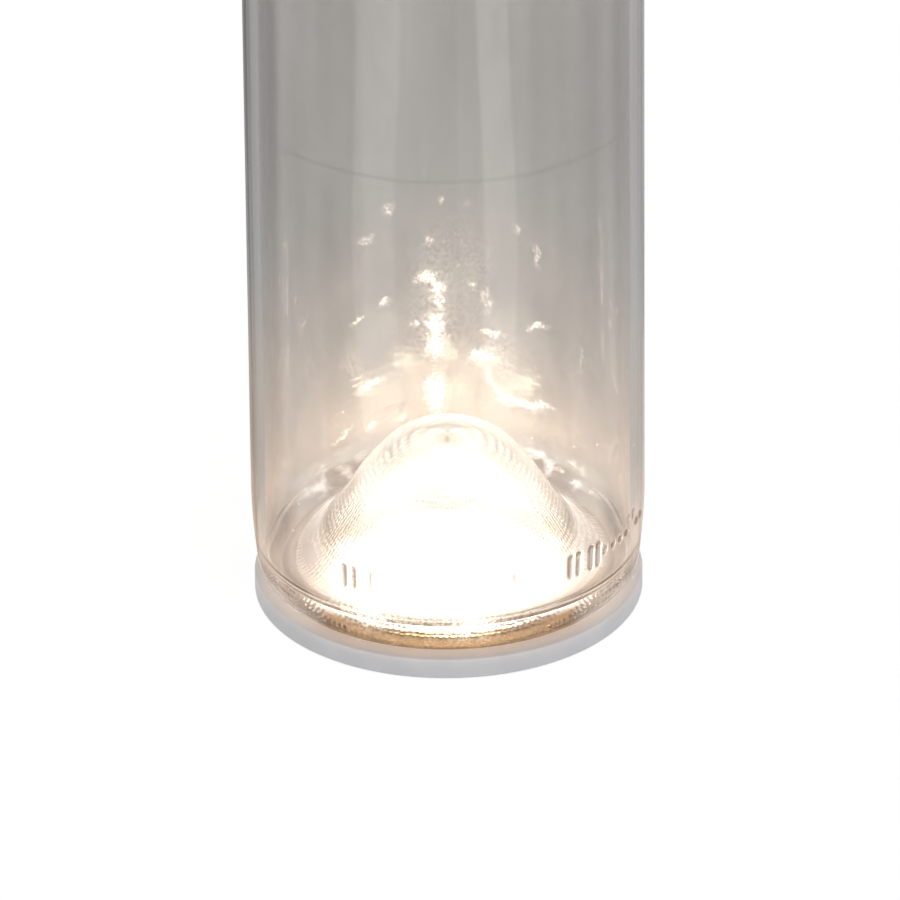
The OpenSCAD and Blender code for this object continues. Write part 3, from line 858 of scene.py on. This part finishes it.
# painted shade in a darker soft mottle, on the dark heel and on the marks' steep sides in front; and the
# line round the wall
def glassTint(graph, plan, at):
    # painted shade: soft darker patches stretched upright, like shaded bands in the glass
    tint = graph.mix(graph.patches(*plan["mottleShadePatches"]), plan["mottleShade"], plan["tint"])
    mark = graph.node("ShaderNodeAttribute", {"attribute_name": "mark"}, output="Fac")
    foot, top = plan["markEdges"]
    edge = graph.step(mark, *foot) * graph.step(mark, *top) * plan["markShadeShare"]
    waverScale, waverReach = plan["seamWaver"]
    waver = (graph.noise(at.place, waverScale) - 0.5) * waverReach
    above = abs(at.height - plan["seamHeight"] + waver)
    seam = graph.step(above, plan["seamHalf"], 0.0) * graph.patches(*plan["seamPatches"])
    # the marks' painted shade and the line, only in front
    dark = (edge * at.onOutside + seam * plan["seamShare"] * at.onInside) * at.inFront
    tint = graph.mix(dark, tint, plan["markEdgeShade"])
    # painted shade on the heel's outside, paler to the left and the right
    sides = at.along(abs(at.x), "heelShadeSides")
    heel = at.up("heelShadeSpan") * at.onOutside * (1 - sides * plan["heelShadePaler"])
    return graph.mix(heel, tint, plan["heelShadeTint"])


def glassMaterial(plan):
    graph = newMaterial("greyGlassPaintedLight")
    at = GlassPoint(graph, plan)
    dots = stippleDots(graph, plan, at)
    glow = graph.vector("ADD", wallGlow(graph, plan, at), troughGlow(graph, plan, at))
    glow = graph.vector("ADD", glow, hollowGlow(graph, plan, at, dots))
    return finishMaterial(graph, {
        "Base Color": glassTint(graph, plan, at),
        "Roughness": 0.0, "IOR": 1.5, "Transmission Weight": 1.0,
        "Emission Color": glow,
        "Normal": graph.bump(dots * at.onHollow, 0.5, plan["dotDepth"])})


makeBottle(bottlePlan, glassMaterial(glassPlan))

print("stage: cork")
corkPlan = {
    "mouthRadius": bottlePlan["mouthRadius"],
    "gap": 0.08 * mm,
    "taper": 0.045,
    "length": 34 * mm,
    "inMouth": 20 * mm,
    "bevel": 0.9 * mm,
    "columns": 160,
    "rows": 96,
    "footRows": 14,
    "topRows": 26,
    "bevelTurns": (0.4, 0.8, 1.2),  # radians
    "dimple": 0.05 * mm,  # how far the middle of each end is sunk
    "grain": 0.10 * mm,  # depth of the fine grain
    "grainScale": 900,
    "pore": 0.42 * mm,  # depth of the pores
    "poreScale": (260, 260, 520),
    "poreSize": 0.36,
    "poreGroups": 170,  # scale of the noise that says where pores are
    "bark": (0.56, 0.37, 0.20),
    "pale": (0.70, 0.50, 0.30),
    "dark": (0.16, 0.085, 0.04),
}


# how far the cork's skin is sunk at a place: fine grain, and pores that lie across
def corkSink(plan, place):
    fine = 0.5 + 0.5 * noise.fractal(place * plan["grainScale"], 1.0, 2.0, 3)
    near = noise.voronoi(place * Vector(plan["poreScale"]))[0][0]
    pick = noise.noise(place * plan["poreGroups"] + Vector((7.0, 0, 0)))
    pore = max(0.0, 1 - near / plan["poreSize"]) * max(0.0, min(1.0, pick * 4 + 0.3))
    return plan["grain"] * max(0.0, min(1.0, fine)) + plan["pore"] * min(1.0, pore * 1.5)


def makeCork(plan, material):
    foot = discTop + bottlePlan["height"] - plan["inMouth"]
    length, bevel, count = plan["length"], plan["bevel"], plan["columns"]

    def corkRadius(h):
        return plan["mouthRadius"] - plan["gap"] + plan["taper"] * (h - plan["inMouth"])

    # across the foot, round its edge, up the side, round the upper edge and in across the top
    low, high = corkRadius(bevel), corkRadius(length - bevel)
    few, many, straight = plan["footRows"], plan["topRows"], length - 2 * bevel
    outline = [((low * 0.999 - bevel) * i / few, 0.0, (0, -1)) for i in range(1, few + 1)]
    for a in plan["bevelTurns"]:
        x, z = math.sin(a), -math.cos(a)
        outline.append((low - bevel + bevel * x, bevel + bevel * z, (x, z)))
    for i in range(plan["rows"] + 1):
        h = bevel + straight * i / plan["rows"]
        outline.append((corkRadius(h), h, (1, 0)))
    for a in plan["bevelTurns"]:
        x, z = math.cos(a), math.sin(a)
        outline.append((high - bevel + bevel * x, length - bevel + bevel * z, (x, z)))
    outline += [((high - bevel) * i / many, length, (0, 1)) for i in range(many, 0, -1)]
    points, faces = [], []
    for x, z, (outX, outZ) in outline:
        for j in range(count):
            turn = math.tau * j / count
            side = Vector((math.cos(turn), math.sin(turn), 0))
            place = side * x + Vector((0, 0, foot + z))
            facing = side * outX + Vector((0, 0, outZ))
            points.append(place - facing * corkSink(plan, place))
    for i in range(len(outline) - 1):
        for j in range(count):
            k = (j + 1) % count
            faces.append((i * count + j, i * count + k, (i + 1) * count + k, (i + 1) * count + j))
    last = (len(outline) - 1) * count
    points += [Vector((0, 0, foot + plan["dimple"])), Vector((0, 0, foot + length - plan["dimple"]))]
    faces += [(len(points) - 2, (j + 1) % count, j) for j in range(count)]
    faces += [(len(points) - 1, last + j, last + (j + 1) % count) for j in range(count)]
    cork = meshPiece("corkStopper", points, faces)
    cork.data.polygons.foreach_set("use_smooth", [True] * len(faces))
    closeMesh(cork.data)
    colourMesh(cork, material)
    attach(cork, "cork")
    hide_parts("cork")


def corkMaterial(plan):
    graph = newMaterial("naturalCork")
    place = graph.place()
    streaks = graph.noise(graph.stretched(90, 90, 420), 1.0, 4.0, 0.6)
    patches = graph.noise(place, 160, 3.0)
    colour = graph.mix(graph.step(streaks * 0.6 + patches * 0.4, 0.36, 0.62), plan["bark"], plan["pale"])
    cells = graph.voronoi(graph.stretched(420, 420, 760), 1.0)
    specksAndSparkles = graph.step(cells, 0.22, 0.08) * graph.patches(240, 0.48, 0.6)
    near = graph.voronoi(graph.stretched(*plan["poreScale"]), 1.0)
    pores = graph.step(near, 0.30, 0.12) * graph.patches(plan["poreGroups"], 0.42, 0.6)
    colour = graph.mix(graph.maths("MAXIMUM", specksAndSparkles * 0.7, pores * 0.9), colour, plan["dark"])
    grain = graph.noise(place, 2600, 3.0)
    return finishMaterial(graph, {
        "Base Color": colour, "Roughness": 0.78 + patches * 0.16, "Specular IOR Level": 0.25,
        "Normal": graph.bump(grain, 0.5, 0.06 * mm)})


makeCork(corkPlan, corkMaterial(corkPlan))

print("stage: disc")
discPlan = {
    "opal": (0.84, 0.855, 0.885),
    "opalShade": (0.79, 0.805, 0.84),
    "rimGlow": (1.0, 0.76, 0.60),
    # a painted glow of the opal next to the glass, and a faint one on its sides
    "rimLevel": 0.42,
    "rimSpan": (34.2 * mm, 28.5 * mm),
    "rimDepth": (1.2 * mm, 0.1 * mm),  # below the disc's top
    "sideGlowLevel": 0.06,
    "windowGlow": (1.0, 0.86, 0.66),
    "windowPale": (1.0, 0.93, 0.82),
    "windowLevel": 9.0,
    "windowRest": 0.7,  # what is left of it at the window's edge
    "windowSpan": (22 * mm, 9 * mm),
    "lampLevel": 160.0,
    "lampSpread": 2.0 * mm,
}
lampNodes = sorted(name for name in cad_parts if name.startswith("lamp_"))


# the square of the distance from a node's upright middle line
def awaySquared(graph, node):
    low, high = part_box(node)
    x, y, z = graph.split(graph.place())
    awayX = x - (low[0] + high[0]) / 2
    awayY = y - (low[1] + high[1]) / 2
    return awayX * awayX + awayY * awayY


# moulded plastic: a soft mottle, faint rubbed places and a fine matte grain
def mouldedMaterial(name, colour, shade, rough=0.5, grain=0.02, more=None):
    graph = newMaterial(name)
    wearAndGlowPatches = graph.patches((300, 900, 700), 0.3, 0.7, 4.0, 0.65)
    inputs = {
        "Base Color": graph.mix(graph.patches(130, 0.36, 0.66, 3.0), shade, colour),
        "Roughness": wearAndGlowPatches * 0.16 + (rough - 0.08),
        "Normal": graph.bump(graph.noise(graph.place(), 5200), 0.35, grain * mm)}
    inputs.update(more(graph) if more else {})
    return finishMaterial(graph, inputs)


# sheet or turned metal: fine lines along one way, tarnish and small scratches
def metalMaterial(name, colour, tarnish, stretch=(200, 4000, 200), rough=0.3):
    graph = newMaterial(name)
    place = graph.place()
    lines = graph.noise(graph.stretched(*stretch), 1.0, 3.0, 0.6)
    stain = graph.noise(place, 260, 4.0, 0.6)
    return finishMaterial(graph, {
        "Base Color": graph.mix(graph.step(stain, 0.42, 0.72), colour, tarnish), "Metallic": 1.0,
        "Roughness": lines * 0.2 + graph.step(stain, 0.45, 0.8) * 0.15 + (rough - 0.1),
        "Normal": graph.bump(lines, 0.25, 0.02 * mm)})


# painted glow: light that leaks out under the glass, and a faint glow that grows up the sides
def paintedRimGlow(graph):
    x, y, z = graph.split(graph.place())
    radius = (x * x + y * y) ** 0.5
    level = graph.step(radius, *discPlan["rimSpan"]) * graph.step(discTop - z, *discPlan["rimDepth"])
    level = level * discPlan["rimLevel"] + graph.step(z, -1 * mm, discTop) * discPlan["sideGlowLevel"]
    return {"Emission Color": graph.scaled(discPlan["rimGlow"], level)}


# the lamps shine through the window as soft bright spots
def windowMaterial(plan):
    graph = newMaterial("litWindow")
    place = graph.place()
    x, y, z = graph.split(place)
    radius = (x * x + y * y) ** 0.5
    level = graph.step(radius, *plan["windowSpan"]) * plan["windowLevel"] + plan["windowRest"]
    for node in lampNodes:
        spot = graph.maths("EXPONENT", awaySquared(graph, node) * (-1 / plan["lampSpread"] ** 2))
        level = spot * plan["lampLevel"] + level
    grain = graph.noise(place, 2400)
    return finishMaterial(graph, {
        "Base Color": graph.mix(graph.noise(place, 300), plan["windowGlow"], plan["windowPale"]),
        "Roughness": grain * 0.2 + 0.35, "Normal": graph.bump(grain, 0.3, 0.02 * mm),
        "Emission Color": graph.scaled(plan["windowGlow"], level * (grain * 0.3 + 0.85))})


lampPlan = {
    "case": (0.87, 0.87, 0.84),
    "phosphor": (1.0, 0.66, 0.12),
    "phosphorPale": (1.0, 0.82, 0.3),
    "poolSpan": (1.2 * mm, 0.9 * mm),
    "poolDepth": (0.25 * mm, 0.1 * mm),  # below the lamp's top
    "glow": (1.0, 0.84, 0.55),
    "level": 14,
}


# a small white case with a yellow phosphor pool
def lampMaterial(plan, node):
    graph = newMaterial("lampPhosphor" + node[-1])
    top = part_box(node)[1][2]
    place = graph.place()
    x, y, z = graph.split(place)
    away = awaySquared(graph, node) ** 0.5
    pool = graph.step(away, *plan["poolSpan"]) * graph.step(top - z, *plan["poolDepth"])
    grain = graph.noise(place, 3800, 3.0)
    yellow = graph.mix(grain, plan["phosphor"], plan["phosphorPale"])
    return finishMaterial(graph, {
        "Base Color": graph.mix(pool, plan["case"], yellow),
        "Roughness": 0.55 - pool * 0.25 + grain * 0.1,
        "Emission Color": graph.scaled(plan["glow"], pool * plan["level"]),
        "Normal": graph.bump(grain, 0.3, 0.02 * mm)})


boardPlan = {
    "trackPitch": 1.1 * mm,
    "patch": 7 * mm,  # size of the patches in which the tracks run one way
    "mask": (0.88, 0.89, 0.86),
    "maskShade": (0.80, 0.82, 0.78),
    "copper": (0.72, 0.66, 0.50),
    "trackSpan": (0.16, 0.11),  # half a track's width, as a share of the pitch
    "bareShare": 0.33,  # share of the patches without tracks
    "relief": 0.035 * mm,
}


# white solder mask over copper tracks, which run along X in some patches and along Y in others
def boardMaterial(plan):
    graph = newMaterial("whiteSolderMask")
    place = graph.place()
    x, y, z = graph.split(place)
    flat = graph.combine(x, y, 0.0)
    patches = graph.voronoi(flat, 1 / plan["patch"], {"distance": "CHEBYCHEV"}, "Color")
    pick, bare = graph.split(patches)[:2]
    tracks = 0.0
    for along, chosen in ((x, graph.step(pick, 0.49, 0.51)), (y, graph.step(pick, 0.51, 0.49))):
        away = abs(graph.maths("FRACT", along * (1 / plan["trackPitch"])) - 0.5)
        tracks = graph.step(away, *plan["trackSpan"]) * chosen + tracks
    tracks = tracks * graph.step(bare, plan["bareShare"] - 0.01, plan["bareShare"] + 0.01)
    mottle = graph.noise(place, 500, 3.0)
    mask = graph.mix(mottle, plan["maskShade"], plan["mask"])
    return finishMaterial(graph, {
        "Base Color": graph.mix(tracks * 0.4, mask, plan["copper"]),
        "Roughness": mottle * 0.15 + 0.22,
        "Normal": graph.bump(tracks + mottle * 0.1, 0.6, plan["relief"])})


# a small electronic part with tinned ends
def chipMaterial(name, node, body, axis, reach):
    graph = newMaterial(name)
    low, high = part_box(node)
    place = graph.place()
    away = abs(graph.split(place)[axis] - (low[axis] + high[axis]) / 2)
    tin = graph.step(away, reach - 0.03 * mm, reach + 0.03 * mm)
    grain = graph.noise(place, 4200, 3.0)
    dark = tuple(0.6 * part for part in body)
    return finishMaterial(graph, {
        "Base Color": graph.mix(tin, graph.mix(grain, dark, body), (0.75, 0.75, 0.76)), "Metallic": tin,
        "Roughness": 0.6 - tin * 0.3 + grain * 0.15, "Normal": graph.bump(grain, 0.4, 0.02 * mm)})


# soft rubber or foam with small closed cells
def foamMaterial(name, colour, shade, cell, depth):
    graph = newMaterial(name)
    place = graph.place()
    cells = graph.voronoi(place, 1 / cell)
    dust = graph.noise(place, 420, 4.0)
    return finishMaterial(graph, {
        "Base Color": graph.mix(graph.step(cells, 0.1, 0.7) * 0.6 + dust * 0.4, shade, colour),
        "Roughness": dust * 0.2 + 0.7, "Specular IOR Level": 0.3, "Normal": graph.bump(cells, 0.7, depth)})


# the button's face is turned in fine rings
def buttonRings(graph, pitch=0.5 * mm):
    away = awaySquared(graph, "push_button") ** 0.5
    rings = graph.maths("SINE", away * (math.tau / pitch)) * 0.5 + 0.5
    return {"Normal": graph.bump(rings, 0.5, 0.04 * mm)}


opal = mouldedMaterial("opalPlasticPaintedGlow", discPlan["opal"], discPlan["opalShade"], more=paintedRimGlow)
looks = {
    "top_cover": opal,
    "base_plate": opal,
    "battery_drawer": opal,
    "light_window": windowMaterial(discPlan),
    "grip_ring": foamMaterial("gripGel", (0.62, 0.47, 0.31), (0.50, 0.36, 0.22), 0.5 * mm, 0.03 * mm),
    "foot_ring": foamMaterial("footFoam", (0.60, 0.60, 0.62), (0.42, 0.42, 0.44), 0.35 * mm, 0.08 * mm),
    "cover_screws": metalMaterial("zincScrew", (0.62, 0.62, 0.64), (0.36, 0.35, 0.33), (900, 900, 900)),
    "circuit_board": boardMaterial(boardPlan),
    "control_chip": chipMaterial("controlChip", "control_chip", (0.03, 0.03, 0.033), 0, 1.5 * mm),
    "resistors": chipMaterial("chipResistor", "resistors", (0.035, 0.035, 0.04), 0, 0.5 * mm),
    "capacitor": chipMaterial("chipCapacitor", "capacitor", (0.42, 0.28, 0.16), 0, 0.5 * mm),
    "switch_body": metalMaterial("switchSteel", (0.66, 0.66, 0.67), (0.5, 0.49, 0.46)),
    "switch_plunger": mouldedMaterial("plungerBlack", (0.035, 0.035, 0.04), (0.02, 0.02, 0.022)),
    "push_button": mouldedMaterial("buttonGrey", (0.70, 0.71, 0.74), (0.62, 0.63, 0.66), more=buttonRings),
    "button_cell": metalMaterial(
        "cellNickel", (0.74, 0.74, 0.75), (0.58, 0.57, 0.55), (3000, 300, 300), 0.26),
    "contact_plus": metalMaterial("springBrass", (0.74, 0.55, 0.22), (0.5, 0.34, 0.14)),
}
looks["contact_minus"] = looks["contact_plus"]
for node in lampNodes:
    looks[node] = lampMaterial(lampPlan, node)
for name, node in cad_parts.items():
    if name in looks:
        for slot in node.material_slots:
            slot.material = looks[name]
